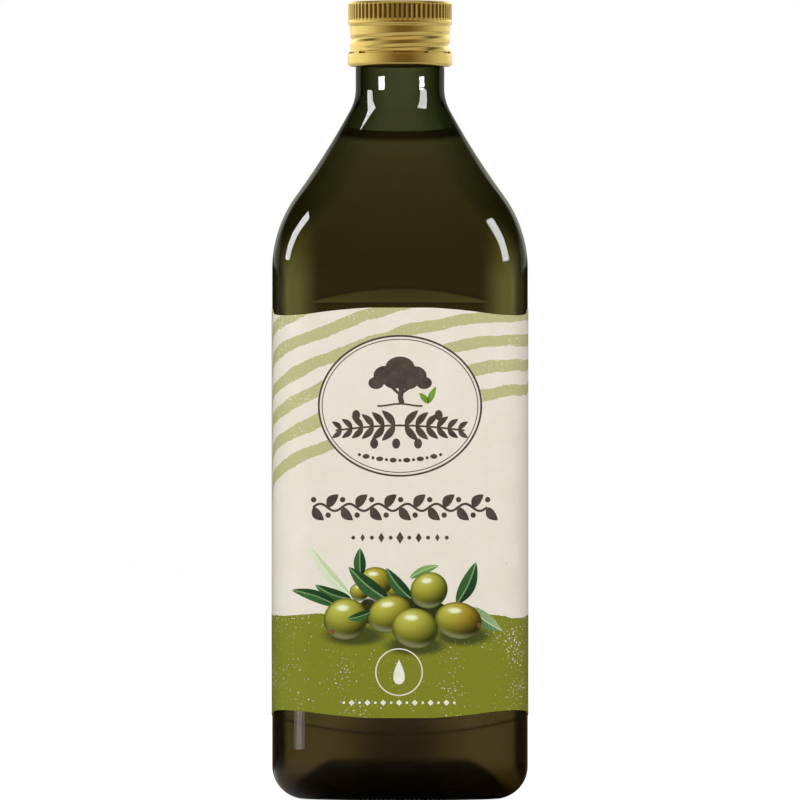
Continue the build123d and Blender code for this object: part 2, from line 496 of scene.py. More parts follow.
def makeKnurls():
    sizes = {
        "Count": knurls["count"],
        "Ring Radius": knurls["ringRadius"],
        "Length": knurls["length"] / 2,
        "Width": knurls["width"] / 2,
        "Height": knurls["height"] / 2,
    }
    tree, given = geometryTree("heelKnurls", sizes)
    rib = addNode(
        tree, "GeometryNodeMeshUVSphere", None, {"Segments": 8, "Rings": 6, "Radius": 1.0}
    )
    stretch = vector(tree, given["Length"], given["Width"], given["Height"])
    ribs = ringOfCopies(
        tree, rib, given["Count"], given["Ring Radius"], given["Height"], stretch=stretch
    )
    bare = newObject("heelKnurls", bpy.data.meshes.new("heelKnurls"))
    shapedByTree(bare, tree, sizes, ribs, glassMaterial)


makeKnurls()
print("glass made")


# ---- oil
# Filtered olive oil: clear golden green, its surface drawn up a little at the glass. Its emission
# is a painted glow by level and towards the corners, with painted shade and a painted highlight,
# where clear oil alone would look black
oil = {
    "absorption": (60.0, 66.0, 82.0),
    "density": 122.0,
    "ior": 1.47,
    "paintedGlow": 0.25,  # strength of the painted glow
    "paintedGlowByLevel": (  # painted glow by level: level, colour in the middle of a side, colour of painted light added towards the corners
        (0.0, "#4e3a20", "#8e7642"),
        (120.0, "#4c3a20", "#8e7642"),
        (150.0, "#564c2a", "#dcd07c"),
        (167.0, "#645a38", "#dcd07c"),
        (175.0, "#807648", "#dacc74"),
        (188.0, "#b8aa7c", "#98905a"),
        (198.0, "#c8ba8c", "#524e2c"),
        (204.0, "#cac698", "#524e2c"),
        (204.8, "#040402", "#040402"),  # painted reflection of its own surface, seen from below
    ),
    "cornersChange": (80 * mm, 150 * mm),  # from the low reach of the painted corner light to the high one
    "paintedGlowCornerLow": (4 * mm, 24 * mm),
    "paintedGlowCornerHigh": (24.5 * mm, 33.5 * mm),
    "paintedGlowEdge": (34.0 * mm, 36.0 * mm),
    "darkEdgeTop": form["panelFoot"] + 20 * mm,  # the painted shade at the edges ends at this level, and they take the painted glow again above it
    "paintedGlowFoot": (12.5 * mm, 6.0 * mm),  # painted shade below these levels: over the dome of the floor, and near the corners
    "domeEdge": (20 * mm, 34 * mm),
    "paintedGlowFootFade": (-0.6 * mm, 2.0 * mm),
    "lowLedgeDrop": 4.3 * mm,  # painted shade: the dark line along the panel's lower ledge, in the middle
    "lowLedgeBow": 3.4 * mm,
    "lowLedgeFade": (0.1 * mm, 0.8 * mm),
    "lowLedgeShare": 0.4,
    "ledgeGlow": "#b1a75f",  # painted highlight above the label, where the panel's ledge slopes out
    "ledgeGlowTop": 159.6 * mm,
    "ledgeGlowDrop": 4.8 * mm,
    "ledgeGlowFade": 0.9 * mm,
    "ledgeGlowFoot": panelTop + 0.6 * mm,
    "settled": 1.1 * mm,
    "intoWall": 0.15 * mm,
    "meniscusHeight": 0.9 * mm,
    "meniscusWidth": 0.8 * mm,
    "surfaceInsets": (0.15, 0.3, 0.45, 0.7, 1.0, 1.4, 2.0, 3.0, 5.0, 30.0),  # from the wall, in mm
}


def clearOil():
    material, tree = newMaterial("oliveOilFiltered")
    x, y, z = axesOf(tree, objectPlace(tree))
    # painted light towards the corners, which reaches further in higher up
    upper = softStep(tree, z, *oil["cornersChange"])
    cornerEdges = [
        ("ADD", low, ("MULTIPLY", upper, high - low))
        for low, high in zip(oil["paintedGlowCornerLow"], oil["paintedGlowCornerHigh"])
    ]
    # painted shade: the glow fades out towards the left and right edges
    rimmed = softStep(tree, ("ABSOLUTE", x), *oil["paintedGlowEdge"], 1.0, 0.0)
    cornering = softStep(
        tree, ("MINIMUM", ("ABSOLUTE", x), ("ABSOLUTE", y)), *cornerEdges
    )
    ramps, levels = [], oil["paintedGlowByLevel"]
    for column in (1, 2):
        ramp = addNode(tree, "ShaderNodeValToRGB", None, {0: ("DIVIDE", z, oilHigh[2])})
        stops = ramp.color_ramp.elements
        for stop, row in ((stops[0], levels[0]), (stops[1], levels[-1])):
            stop.position, stop.color = row[0] * mm / oilHigh[2], linear(row[column])
        for row in levels[1:-1]:
            stops.new(row[0] * mm / oilHigh[2]).color = linear(row[column])
        ramps.append(ramp.outputs[0])
    paintedGlow = mixColours(tree, ("MULTIPLY", cornering, rimmed), ramps[0], ramps[1], "ADD")
    # painted highlight along the ledge above the label, brighter towards its ends
    outward = ("DIVIDE", x, form["panelHalfWidth"])
    bow = ("MULTIPLY", outward, outward)
    arc = ("SUBTRACT", oil["ledgeGlowTop"], ("MULTIPLY", bow, oil["ledgeGlowDrop"]))
    inside = softStep(tree, ("SUBTRACT", arc, z), 0.0, oil["ledgeGlowFade"])
    onPanel = ("MULTIPLY", ("GREATER_THAN", ("ABSOLUTE", y), ("ABSOLUTE", x)),
               ("MULTIPLY", ("GREATER_THAN", z, oil["ledgeGlowFoot"]), ("LESS_THAN", bow, 1.0)))
    paintedGlowColour = mixColours(
        tree, ("MULTIPLY", ("MULTIPLY", inside, onPanel), ("ADD", 0.5, ("MULTIPLY", bow, 0.5))),
        paintedGlow, oil["ledgeGlow"],
    )
    # painted shade over the dome of the floor, and along the panel's lower ledge
    domed = softStep(tree, ("ABSOLUTE", x), *oil["domeEdge"], *oil["paintedGlowFoot"])
    overFoot = softStep(tree, ("SUBTRACT", z, domed), *oil["paintedGlowFootFade"])
    lowArc = (
        "ADD", form["panelFoot"] - oil["lowLedgeDrop"], ("MULTIPLY", bow, oil["lowLedgeBow"])
    )
    ledgeLine = softStep(
        tree, ("ABSOLUTE", ("SUBTRACT", z, lowArc)), *oil["lowLedgeFade"], oil["lowLedgeShare"]
    )
    # painted shade at the edges, up to the level where the painted glow takes over
    edges = ("MAXIMUM", rimmed, ("GREATER_THAN", z, oil["darkEdgeTop"]))
    paintedGlowMask = ("MULTIPLY", ("MULTIPLY", overFoot, ledgeLine), edges)
    finishMaterial(
        tree,
        {
            "Base Color": linear("#ffffff"),
            "Transmission Weight": 1.0,
            "IOR": oil["ior"],
            "Roughness": 0.0,
            "Emission Color": paintedGlowColour,
            "Emission Strength": ("MULTIPLY", paintedGlowMask, oil["paintedGlow"]),
        },
        oil,
    )
    return material


def makeOil():
    surface = oilHigh[2] - oil["settled"]
    rows = [row for row in innerRows if row[0] < surface]
    above = innerRows[len(rows)]
    share = (surface - rows[-1][0]) / (above[0] - rows[-1][0])
    rows.append(tuple(low + (high - low) * share for low, high in zip(rows[-1], above)))
    rings = wallRings(rows, panelled=False, growth=oil["intoWall"])
    domeHeight = form["domeTop"] - form["floorLevel"]
    base = floorRings(
        rings[0], form["floorLevel"] - oil["intoWall"], form["domeRadius"], domeHeight
    )
    top = []
    for inset in oil["surfaceInsets"]:
        drop = oil["meniscusHeight"] * (1 - math.exp(-inset * mm / oil["meniscusWidth"]))
        ring = []
        for p in rings[-1]:
            flat = Vector((p.x, p.y))
            flat *= max(1 - inset * mm / flat.length, 0.0)
            ring.append(Vector((flat.x, flat.y, surface - drop)))
        top.append(ring)
    rings = base + rings[1:] + top
    points = [p for ring in rings for p in ring]
    faces = bandFaces(len(rings), ringPoints)
    newPiece("oliveOil", points, faces, clearOil(), "oil", "olive_oil")


makeOil()
print("oil made")


# ---- cap
# Anodised aluminium, rolled and lightly brushed round the axis: warm gold, with hair-fine rings
# that spread its highlights up and down
cap = {
    "fluteCount": 64,
    "fluteDepth": 0.5 * mm,
    "fluteHalfWidth": 0.5 * mm,
    "fluteFoot": 15.05 * mm,  # above the cap's foot, as the levels below
    "fluteTopGap": 1.25 * mm,  # below the cap's top
    "threadStart": 0.55,  # turns from +X
    "threadFoot": 5.0 * mm,
    "threadPitch": 3.5 * mm,
    "threadTurns": 1.5,
    "threadDepth": 0.55 * mm,
    "threadHalfWidth": 1.35 * mm,
    "bridgeCount": 8,
    "bridgeWidth": 1.1 * mm,
    "bridgeDepth": 1.1 * mm,
    "bridgeInset": 0.85 * mm,  # from the band's outside to a bridge's middle
    "bridgeSunk": 0.3 * mm,  # how much taller than the slit a bridge is
    "bridgeTurn": -99.6,  # degrees
    "slitLevel": 4.0 * mm,
    "slitHeight": 0.5 * mm,
    "bandRadius": capHigh[0],
    "skinRadius": 15.5 * mm,  # everything outside this takes the relief
    "brushLine": 0.12 * mm,  # coarser than real brushing, so that it shows
    "brushLength": 1 / 60,
    "brushDepth": 0.03 * mm,
    "pointsPerFlute": 10,
}


def brushedGold():
    material, tree = newMaterial("anodisedAluminiumBrushed")
    rings = addNode(
        tree, "ShaderNodeMapping", None,
        {"Vector": objectPlace(tree),
         "Scale": (1 / cap["brushLength"], 1 / cap["brushLength"], 1 / cap["brushLine"])},
    )
    brush = grain(tree, rings, 1.0, 3.0, 0.7)
    tint = mixColours(tree, brush, "#e1c46a", "#efd77e")
    rough = addNode(
        tree, "ShaderNodeMapRange", None, {"Value": brush, "To Min": 0.25, "To Max": 0.36}
    )
    bump = relief(tree, brush, 0.2, cap["brushDepth"])
    # painted shade: a darker colour at the bottom of the flutes, where shade falls in the grooves
    depth = addNode(tree, "ShaderNodeAttribute", {"attribute_name": "fluteShade"})
    tintWithFluteShade = mixColours(tree, depth.outputs["Fac"], tint, "#604712")
    finishMaterial(
        tree, {"Base Color": tintWithFluteShade, "Metallic": 1.0, "Roughness": rough, "Normal": bump}
    )
    return material


# (reach, level above the cap's foot) down the outside, then up the inside, in millimetres
def capProfile():
    top = (capHigh[2] - capLow[2]) / mm
    outer = [(reach, top) for reach in (0.0, 4.0, 8.0, 12.0, 14.4)]
    for i in range(7):
        angle = math.radians(90 * i / 6)
        outer.append((15.25 + math.sin(angle), top - 1 + math.cos(angle)))
    outer += [(16.25, 19.3 - 0.15 * i) for i in range(31)]
    outer += [(16.28, 14.6), (16.33, 14.35), (16.38, 14.05), (16.38, 13.75), (16.32, 13.45)]
    outer += [(16.2, 13.2), (16.03, 13.0), (15.86, 12.82), (15.74, 12.62), (15.69, 12.4)]
    outer += [(15.7 - 0.08 * (i / 49 - 0.2) ** 2, 12.2 - 0.15 * i) for i in range(50)]
    outer += [(15.7, 4.7), (15.64, 4.53), (15.5, 4.5), (14.8, 4.5), (14.8, 4.0), (16.2, 4.0)]
    outer += [(16.4, 3.96), (16.45, 3.8), (16.45, 3.0), (16.45, 2.2), (16.45, 1.5)]
    for i in range(9):
        angle = math.radians(90 * i / 8)
        outer.append((14.9 + 1.55 * math.cos(angle), 1.1 - 1.1 * math.sin(angle)))
    inner = [(14.5, 0.0), (14.4, 0.15), (14.4, 0.5), (15.3, 0.9), (15.9, 1.6), (15.9, 3.4)]
    inner += [(14.6, 4.2), (14.6, 10.6), (15.1, 11.1), (15.1, top - 0.8), (0.0, top - 0.8)]
    return outer, inner


def makeCap():
    outer, inner = capProfile()
    count = cap["fluteCount"] * cap["pointsPerFlute"]
    points = []
    for reach, level in outer + inner:
        for angle in turns(count):
            x, y = reach * mm * math.cos(angle), reach * mm * math.sin(angle)
            points.append(Vector((x, y, capLow[2] + level * mm)))
    material = brushedGold()
    piece = newPiece("capShell", points, bandFaces(len(outer + inner), count), material)
    sizes = {
        "Flute Count": float(cap["fluteCount"]),
        "Flute Depth": cap["fluteDepth"],
        "Flute Half Width": cap["fluteHalfWidth"],
        "Flute Foot": capLow[2] + cap["fluteFoot"],
        "Flute Top": capHigh[2] - cap["fluteTopGap"],
        "Thread Start": cap["threadStart"],
        "Thread Foot": capLow[2] + cap["threadFoot"],
        "Thread Pitch": cap["threadPitch"],
        "Thread Turns": cap["threadTurns"],
        "Thread Depth": cap["threadDepth"],
        "Thread Half Width": cap["threadHalfWidth"],
        "Skin Radius": cap["skinRadius"],
        "Bridge Count": cap["bridgeCount"],
        "Bridge Radius": cap["bandRadius"] - cap["bridgeInset"],
        "Bridge Level": capLow[2] + cap["slitLevel"] + cap["slitHeight"] / 2,
        "Bridge Turn": math.radians(cap["bridgeTurn"]),
        "Bridge Width": cap["bridgeWidth"],
        "Bridge Height": cap["slitHeight"] + cap["bridgeSunk"],
    }
    tree, given = geometryTree("capRelief", sizes)
    x, y, z = axesOf(tree, addNode(tree, "GeometryNodeInputPosition"))
    turn = ("DIVIDE", ("ARCTAN2", y, x), math.tau)
    reach = hypotenuse(x, y)
    # flutes: straight grooves with round ends
    phase = ("PINGPONG", ("MULTIPLY", turn, given["Flute Count"]), 0.5)
    across = ("MULTIPLY", phase, ("DIVIDE", ("MULTIPLY", reach, math.tau), given["Flute Count"]))
    below = ("MAXIMUM", ("SUBTRACT", given["Flute Foot"], z), ("SUBTRACT", z, given["Flute Top"]))
    past = ("MAXIMUM", below, 0.0)
    away = ("DIVIDE", hypotenuse(across, past), given["Flute Half Width"])
    groove = ("SQRT", ("MAXIMUM", ("SUBTRACT", 1.0, ("MULTIPLY", away, away)), 0.0))
    flute = ("MULTIPLY", groove, given["Flute Depth"])
    # thread: a groove rolled in along a right-handed helix, fading in and out at its ends
    wound = ("FRACT", ("SUBTRACT", ("ADD", turn, 2.0), given["Thread Start"]))
    climbed = ("SUBTRACT", ("DIVIDE", ("SUBTRACT", z, given["Thread Foot"]),
                            given["Thread Pitch"]), wound)
    lap = ("ROUND", climbed)
    offset = ("ABSOLUTE", ("MULTIPLY", ("SUBTRACT", climbed, lap), given["Thread Pitch"]))
    halfWidth = given["Thread Half Width"]
    rolled = ("DIVIDE", ("MINIMUM", offset, halfWidth), halfWidth)
    dip = ("MULTIPLY", ("ADD", ("COSINE", ("MULTIPLY", rolled, math.pi)), 1.0), 0.5)
    length = ("ADD", lap, wound)
    lead = ("MULTIPLY", ("MINIMUM", ("MAXIMUM", length, 0.0),
                         ("MAXIMUM", ("SUBTRACT", given["Thread Turns"], length), 0.0)), 5.0)
    fade = ("MINIMUM", lead, 1.0)
    thread = ("MULTIPLY", ("MULTIPLY", dip, fade), given["Thread Depth"])
    outside = ("GREATER_THAN", reach, given["Skin Radius"])
    sunk = ("MULTIPLY", ("ADD", flute, thread), outside)
    outwards = addNode(
        tree, "ShaderNodeVectorMath", {"operation": "NORMALIZE"}, {0: vector(tree, x, y)}
    )
    push = addNode(
        tree, "ShaderNodeVectorMath", {"operation": "SCALE"},
        {0: outwards, "Scale": ("MULTIPLY", sunk, -1.0)},
    )
    # the share of painted shade at the bottom of each flute
    shaded = addNode(
        tree, "GeometryNodeStoreNamedAttribute", {"data_type": "FLOAT", "domain": "POINT"},
        {"Geometry": given["Geometry"], "Name": "fluteShade",
         "Value": ("MULTIPLY", ("MAXIMUM", ("SUBTRACT", ("MULTIPLY", groove, 2.2), 1.2), 0.0),
                   outside)},
    )
    shell = addNode(
        tree, "GeometryNodeSetPosition", None, {"Geometry": shaded, "Offset": push}
    )
    # bridges that hold the tamper band below the slit
    size = vector(tree, cap["bridgeDepth"], given["Bridge Width"], given["Bridge Height"])
    bridges = ringOfCopies(
        tree, addNode(tree, "GeometryNodeMeshCube", None, {"Size": size}),
        given["Bridge Count"], given["Bridge Radius"], given["Bridge Level"], given["Bridge Turn"],
    )
    whole = addNode(tree, "GeometryNodeJoinGeometry", None, {"Geometry": shell})
    tree.links.new(bridges.outputs[0], whole.inputs["Geometry"])
    shapedByTree(piece, tree, sizes, whole, material, "cap")


makeCap()
print("cap made")


# ---- label
label = {
    "intoGlass": 0.05 * mm,
    "thickness": labelHigh[0] - glassHigh[0],
    "edgeRise": 2.35 * mm,
    "columns": 256,
    "rows": 64,
    "printRaise": 0.02 * mm,  # each layer of the print lies this much above the one under it
    "stripeRightLevel": 150.9 * mm,
    "stripeDrop": 23.0 * mm,
    "stripeReach": 77.4 * mm,
    "stripeFlatFrom": 33.0 * mm,
    "stripePitch": 8.47 * mm,  # at the middle of the front
    "stripeSpread": -0.0193,  # change of that pitch from left to right
    "stripeShare": 0.23,  # half of a stripe's width, as a share of the pitch
    "stripeCount": 3.5,
    "fieldLevel": 57.9 * mm,
    "medallionLevel": 122.9 * mm,
    "medallionHalfWidth": 25.5 * mm,
    "medallionHalfHeight": 22.0 * mm,
    "speckPitch": 4.2 * mm,
    "wornEdge": (18 * mm, 37 * mm),  # the print is rubbed a little more towards the side's edge
    "wornAbove": 0.856,
    "fieldWander": 3.2 * mm,
    "fieldTear": 0.9 * mm,
    "pulpDepth": 0.04 * mm,
}
underOlives = (  # the printed shade: across, level, half width, half height
    (-14.0, 51.6, 12.0, 4.0),
    (5.0, 48.6, 12.0, 4.0),
    (19.5, 51.6, 11.0, 4.0),
    (-1.0, 61.0, 15.0, 5.0),
)
labelOut = label["thickness"]
sideTurn = math.radians(form["sideBow"])
sideLength = (bodySideRadius + labelOut) * sideTurn  # from the middle of a side to its corner
cornerOut = form["cornerRadius"] + labelOut
quarterLength = 2 * sideLength + cornerOut * (math.pi / 2 - 2 * sideTurn)
roundLength = 4 * quarterLength
cornerPlace = (bodySideRadius - form["cornerRadius"]) * math.sin(sideTurn)
diagonalReach = cornerPlace * math.sqrt(2) + form["cornerRadius"]
edgeSphere = (diagonalReach ** 2 - form["halfWidth"] ** 2) / (2 * label["edgeRise"])
edgeSphereDrop = math.sqrt(edgeSphere ** 2 - diagonalReach ** 2)


# a place on the body: along is the distance round it from the middle of the front
def onBody(along, level, out):
    quarter = round(along / quarterLength)
    rest = along - quarter * quarterLength
    side = math.copysign(1.0, rest)
    if abs(rest) <= sideLength:
        angle = rest / (bodySideRadius + labelOut)
        radius = bodySideRadius + out
        local = Vector((form["halfWidth"] - bodySideRadius + radius * math.cos(angle),
                        radius * math.sin(angle)))
    else:
        angle = side * (sideTurn + (abs(rest) - sideLength) / cornerOut)
        radius = form["cornerRadius"] + out
        local = Vector((cornerPlace, side * cornerPlace))
        local += Vector((math.cos(angle), math.sin(angle))) * radius
    turn = (quarter - 1) * math.pi / 2
    x = local.x * math.cos(turn) - local.y * math.sin(turn)
    y = local.x * math.sin(turn) + local.y * math.cos(turn)
    return flattened(Vector((x, y)), level, out)


# both edges are cut by a sphere, so they bow out in the middle of each side
def labelEdge(point, low, high, rising):
    reach = math.hypot(point.x, point.y)
    rise = math.sqrt(edgeSphere ** 2 - reach ** 2) - edgeSphereDrop
    if rising:
        return min(high - label["edgeRise"] + rise, high)
    return max(low + label["edgeRise"] - rise, low)


def uncoatedPaper():
    material, tree = newMaterial("uncoatedPaperPrinted")
    along, z, _ = axesOf(tree, printPlace(tree))
    # the back carries the front's print mirrored, so that it runs on round the sides
    mirrored = ("PINGPONG", ("ADD", along, quarterLength), 2 * quarterLength)
    across = worked(tree, "SUBTRACT", mirrored, quarterLength)
    printed = vector(tree, across, z)
    slow = grain(tree, printed, 16 * mm, 1.0)
    ragged = grain(tree, printed, 2.4 * mm, 4.0, 0.65)
    # fibres and dust in the pulp
    pulp = grain(tree, printed, 0.7 * mm, 3.0, 0.6)
    cloud = grain(tree, printed, 9 * mm, 2.0)
    speck = addNode(
        tree, "ShaderNodeTexVoronoi", {"feature": "F1"},
        {"Vector": printed, "Scale": 1 / label["speckPitch"]},
    )
    cell = addNode(tree, "ShaderNodeSeparateColor", None, {0: speck.outputs["Color"]})
    fleckSize = ("MULTIPLY", ("SUBTRACT", cell.outputs[0], 0.8), 0.28)
    fleck = ("LESS_THAN", speck.outputs["Distance"], fleckSize)
    pale = mixColours(tree, pulp, "#e4ddd0", "#f2ede3")
    aged = mixColours(tree, cloud, pale, "#f3efe6", "MULTIPLY")
    dusty = mixColours(tree, ("MULTIPLY", fleck, 0.55), aged, "#8d8070")
    # stripes like furrows, that climb from the left and level out at the right
    left = ("MAXIMUM", ("SUBTRACT", label["stripeFlatFrom"], across), 0.0)
    climb = ("POWER", ("DIVIDE", left, label["stripeReach"]), 1.65)
    drop = ("MULTIPLY", climb, label["stripeDrop"])
    pitch = ("ADD", label["stripePitch"], ("MULTIPLY", across, label["stripeSpread"]))
    row = ("DIVIDE", ("SUBTRACT", ("SUBTRACT", label["stripeRightLevel"], drop), z), pitch)
    wander = ("MULTIPLY", ("SUBTRACT", slow, 0.5), 0.35)
    torn = ("MULTIPLY", ("SUBTRACT", ragged, 0.5), 0.16)
    counted = worked(tree, "ADD", row, ("ADD", wander, torn))
    inStripe = ("LESS_THAN", ("PINGPONG", counted, 0.5), label["stripeShare"])
    above = ("LESS_THAN", counted, label["stripeCount"])
    reachX = ("DIVIDE", across, label["medallionHalfWidth"])
    reachZ = ("DIVIDE", ("SUBTRACT", z, label["medallionLevel"]), label["medallionHalfHeight"])
    oval = ("ADD", ("MULTIPLY", reachX, reachX), ("MULTIPLY", reachZ, reachZ))
    outside = ("GREATER_THAN", oval, 1.0)
    # ink that has rubbed off in clusters of small flecks
    grit = grain(tree, printed, 0.7 * mm, 2.0, 0.6)
    patch = grain(tree, printed, 11 * mm, 1.0)
    rubbed = softStep(tree, ("ABSOLUTE", across), *label["wornEdge"], 0.0, 0.03)
    wear = ("ADD", ("ADD", grit, rubbed), ("MULTIPLY", patch, 0.32))
    worn = ("GREATER_THAN", wear, label["wornAbove"])
    kept = worked(tree, "SUBTRACT", 1.0, worn)
    striped = ("MULTIPLY", ("MULTIPLY", inStripe, above), ("MULTIPLY", outside, kept))
    bandTint = mixColours(tree, pulp, "#afae7a", "#c3c28f")
    withStripes = mixColours(tree, striped, dusty, bandTint)
    # the green field below a torn edge
    wave = ("MULTIPLY", ("SUBTRACT", slow, 0.5), label["fieldWander"])
    tear = ("MULTIPLY", ("SUBTRACT", ragged, 0.5), label["fieldTear"])
    edge = ("ADD", label["fieldLevel"], ("ADD", wave, tear))
    inField = ("MULTIPLY", ("LESS_THAN", z, edge), kept)
    fieldTint = mixColours(tree, pulp, "#787c20", "#838727")
    coloured = mixColours(tree, inField, withStripes, fieldTint)
    # the printed shade under the olives
    shade = None
    for x, level, halfWidth, halfHeight in underOlives:
        dx = ("DIVIDE", ("SUBTRACT", across, x * mm), halfWidth * mm)
        dz = ("DIVIDE", ("SUBTRACT", z, level * mm), halfHeight * mm)
        near = ("SUBTRACT", 1.0, hypotenuse(dx, dz))
        shade = near if shade is None else ("MAXIMUM", shade, near)
    shadeAmount = softStep(tree, ("MAXIMUM", shade, 0.0), 0.0, 0.5, 0.0, 0.8)
    shaded = mixColours(tree, shadeAmount, coloured, "#2c331c")
    bump = relief(tree, pulp, 0.5, label["pulpDepth"])
    finishMaterial(
        tree,
        {"Base Color": shaded, "Roughness": 0.72, "Specular IOR Level": 0.3, "Normal": bump},
    )
    return material


def makeLabel():
    columns, rows = label["columns"], label["rows"]
    rings, alongs = [], [roundLength * (i / columns - 0.5) for i in range(columns)]
    for out in (-label["intoGlass"], labelOut):
        sheet = []
        for row in range(rows + 1):
            ring = []
            for along in alongs:
                rim = onBody(along, labelLow[2], out)
                low = labelEdge(rim, labelLow[2], labelHigh[2], rising=False)
                high = labelEdge(rim, labelLow[2], labelHigh[2], rising=True)
                ring.append(onBody(along, low + (high - low) * row / rows, out))
            sheet.append(ring)
        rings += sheet if out > 0 else sheet[::-1]
    rings.append(rings[0])
    points = [p for ring in rings for p in ring]
    faces = bandFaces(len(rings), columns)
    places = []
    for face in faces:
        wraps = face[1] % columns == 0
        for spot in face:
            along = alongs[spot % columns]
            if wraps and spot % columns == 0:
                along += roundLength
            places.append((along, points[spot].z))
    return newPiece("paperLabel", points, faces, uncoatedPaper(), "label", "label", places)


makeLabel()
print("label made")


# ---- print on the label: thin layers of ink in plain shapes, on the front and again on the back
inkTones = {
    "brown": ("#443a33", "#5a4f46"),
    "cream": ("#dedccb", "#f0efe2"),
    "leaf": ("#5f8a2c", "#7ba03a"),
}
oliveShapes = (  # across, level, half length, half width, tilt, layer, golden share
    (-7.6, 68.3, 5.4, 4.6, 0, 2, 0.35),
    (-12.6, 65.2, 3.0, 2.8, 0, 0.6, 0.4),
    (-1.9, 66.2, 3.4, 3.0, 0, 1.3, 0.2),
    (-3.2, 58.3, 7.0, 5.6, 22, 5, 0.15),
    (9.0, 65.7, 5.9, 5.5, 35, 5, 0.0),
    (18.1, 56.3, 7.3, 5.7, -10, 5, 0.6),
    (-16.9, 56.8, 6.8, 6.4, 20, 5, 0.0),
    (4.6, 53.9, 7.2, 6.2, -12, 7, -0.3),
)
oliveShift = 4.0  # how far the places of an olive move for each tenth of its golden share
gapShapes = (  # across, level, half width, half height, layer
    (-0.6, 61.6, 4.6, 2.4, 3.2),
    (-9.9, 59.2, 3.0, 3.8, 3.4),
    (3.2, 59.0, 6.0, 4.2, 3.6),
    (11.6, 58.2, 3.8, 3.6, 3.8),
)
leafTones = {  # dark, light and rib
    "deep": ("#16341b", "#43703a", "#8fae78"),
    "fresh": ("#5a8642", "#96b56c", "#cbdaa8"),
    "pale": ("#b9cc9c", "#dfe7cc", "#eef1de"),
    "twoTone": ("#3d6436", "#a9c08d", "#cfdab4"),
}
leafShapes = (  # tip across, tip level, base across, base level, width, bend, layer, ink
    (-28.3, 79.6, -15.0, 63.6, 3.4, 1.0, 1, "pale"),
    (-26.4, 67.4, -15.0, 63.0, 3.8, 0.9, 2, "deep"),
    (-34.2, 65.8, -19.0, 60.6, 3.6, -0.8, 3, "deep"),
    (-12.4, 78.8, -12.2, 70.0, 3.8, 0.2, 2, "deep"),
    (-16.0, 73.0, -3.2, 62.4, 5.0, 0.8, 4, "deep"),
    (12.2, 73.4, 3.0, 69.4, 2.6, 0.5, 1, "fresh"),
    (-4.4, 72.7, 4.0, 62.6, 4.2, 0.7, 3, "deep"),
    (23.6, 74.5, 17.6, 61.4, 4.8, -0.7, 4, "deep"),
    (31.9, 53.1, 21.6, 60.4, 4.6, -0.6, 4, "twoTone"),
    (-16.4, 56.8, -9.0, 59.0, 2.8, 0.4, 6, "deep"),
)


def ellipseOutline(x, level, halfLength, halfWidth, tilt=0.0, count=40):
    turn = math.radians(tilt)
    along = Vector((math.cos(turn), math.sin(turn)))
    side = Vector((-along.y, along.x))
    centre = Vector((x, level))
    return centre, [
        centre + along * halfLength * math.cos(a) + side * halfWidth * math.sin(a)
        for a in turns(count)
    ]


# a lens with one point, bent to one side
def leafOutline(tip, base, width, bend, count=14):
    length, along = (tip - base).length, (tip - base).normalized()
    side = Vector((-along.y, along.x))

    def place(t, across):
        swell = math.sin(math.pi * t ** 0.85) ** 0.8 if 0 < t < 1 else 0.0
        sway = bend * math.sin(math.pi * t)
        return base + along * length * t + side * (sway + across * width / 2 * swell)

    edge = [place(i / count, 1.0) for i in range(count)]
    edge += [place(1 - i / count, -1.0) for i in range(count)]
    return place(0.5, 0.0), edge


# the two copies of a place on the print: on the front, and mirrored on the back
def bothSides(flat, depth):
    alongs = (flat.x * mm, 2 * quarterLength - flat.x * mm)
    return [onBody(along, flat.y * mm, labelOut + depth) for along in alongs]


def addPoint(ink, flat, depth, placing=None):
    for copy, point in zip(ink["points"], bothSides(flat, depth)):
        copy.append(point)
    ink["places"].append(placing(flat) if placing else (flat.x * mm, flat.y * mm))


# closed shells from rows of flat points: rows are rings, and depths are heights above the paper
def addShell(ink, rows, depths, placing, capped):
    count, first = len(rows[0]), len(ink["points"][0])
    for row, depth in zip(rows, depths):
        for flat in row:
            addPoint(ink, flat, depth, placing)
    bands = bandFaces(len(rows), count)
    ink["faces"] += [tuple(first + spot for spot in face) for face in bands]
    if capped:
        last = first + (len(rows) - 1) * count
        ink["faces"].append(tuple(first + i for i in range(count)))
        ink["faces"].append(tuple(last + i for i in range(count)))


def newInk():
    return {"points": ([], []), "faces": [], "places": []}


# a filled shape, drawn in from its centre so that it follows the paper
def addFill(ink, centre, outline, layer, placing=None):
    shares = (0.02, 0.3, 0.6, 0.85, 1.0)
    rows = [[centre + (spot - centre) * share for spot in outline] for share in shares]
    top, under = layer * label["printRaise"], -label["printRaise"]
    depths = [top] * len(rows) + [under] * len(rows)
    addShell(ink, rows + rows[::-1], depths, placing, capped=True)


# a line of even width along a path
def addLine(ink, path, width, layer, closed=False):
    count = len(path)
    left, right = [], []
    for i, spot in enumerate(path):
        before = path[(i - 1) % count] if closed else path[max(i - 1, 0)]
        after = path[(i + 1) % count] if closed else path[min(i + 1, count - 1)]
        side = Vector((before.y - after.y, after.x - before.x)).normalized() * width / 2
        left.append(spot + side)
        right.append(spot - side)
    top, under = layer * label["printRaise"], -label["printRaise"]
    if closed:
        addShell(ink, [left, right, right, left, left], [top, top, under, under, top], None, False)
    else:
        rows = [[a, b, b, a] for a, b in zip(left, right)]
        first = len(ink["points"][0])
        for row in rows:
            for flat, depth in zip(row, (top, top, under, under)):
                addPoint(ink, flat, depth)
        ink["faces"] += [
            tuple(first + i + step for step in (0, 4)) + tuple(first + j + step for step in (4, 0))
            for row in range(count - 1)
            for i, j in [(4 * row + k, 4 * row + (k + 1) % 4) for k in range(4)]
        ]
        last = first + 4 * (count - 1)
        ink["faces"] += [tuple(end + i for i in range(4)) for end in (first, last)]


